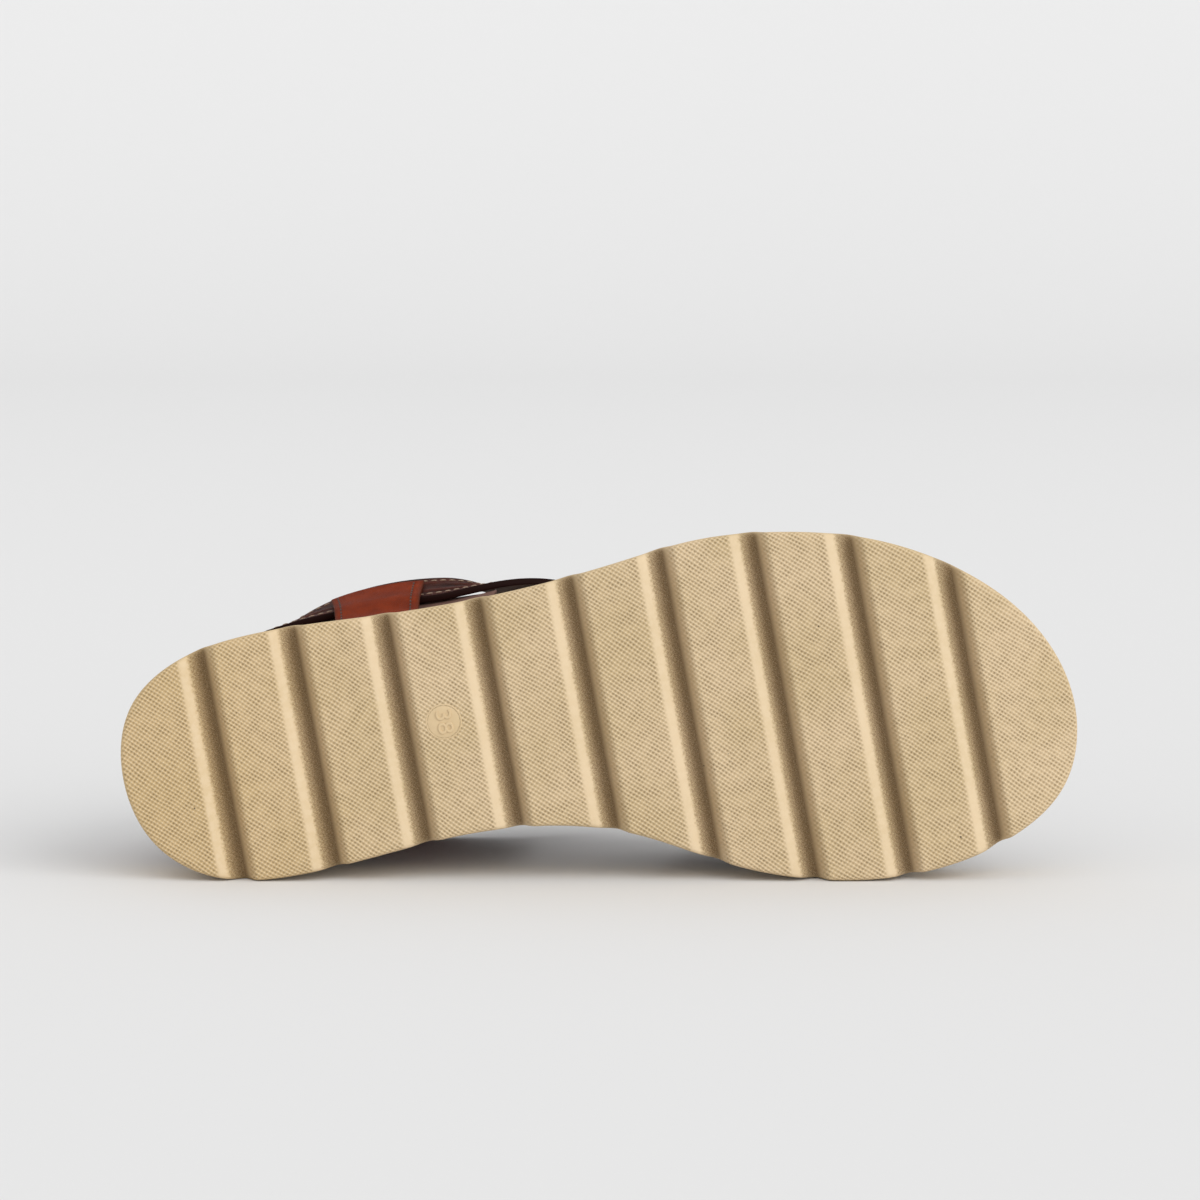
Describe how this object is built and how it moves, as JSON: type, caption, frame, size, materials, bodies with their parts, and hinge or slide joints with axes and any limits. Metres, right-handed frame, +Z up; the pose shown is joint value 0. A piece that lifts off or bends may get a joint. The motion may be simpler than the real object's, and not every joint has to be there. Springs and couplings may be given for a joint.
{
  "type": "comfort sandal",
  "caption": "Right comfort sandal lying on its inner side: thick grooved tan sole, contoured footbed, crossed forefoot straps, heel counter and a buckled instep strap.",
  "frame": {"origin": "centre of the bounding box at floor level, with the sandal lying on the inner edge of its sole and on its inner side tab", "axes": "+X from heel to toe along the line of the sole edge on the floor, +Y away from the tread towards the upper, +Z up, which is the outer side of the foot"},
  "size_m": [0.2562, 0.1008, 0.0935],
  "materials": {
    "sole_rubber": "matt moulded rubber with a fine canvas print",
    "lining_suede": "soft brushed lining leather",
    "dark_leather": "waxed dark brown leather with soft creases",
    "cognac_leather": "smooth orange-brown leather, stitched",
    "old_brass": "aged brass, satin"
  },
  "bodies": {
    "root": {"outsole": "sole_rubber", "footbed": "lining_suede", "heel_counter": "dark_leather", "side_tab_inner": "cognac_leather", "side_tab_outer": "cognac_leather", "instep_strap": "dark_leather", "buckle_frame": "old_brass", "buckle_prong": "old_brass", "strap_keeper": "dark_leather", "forefoot_straps": "dark_leather"}
  },
  "joints": []
}
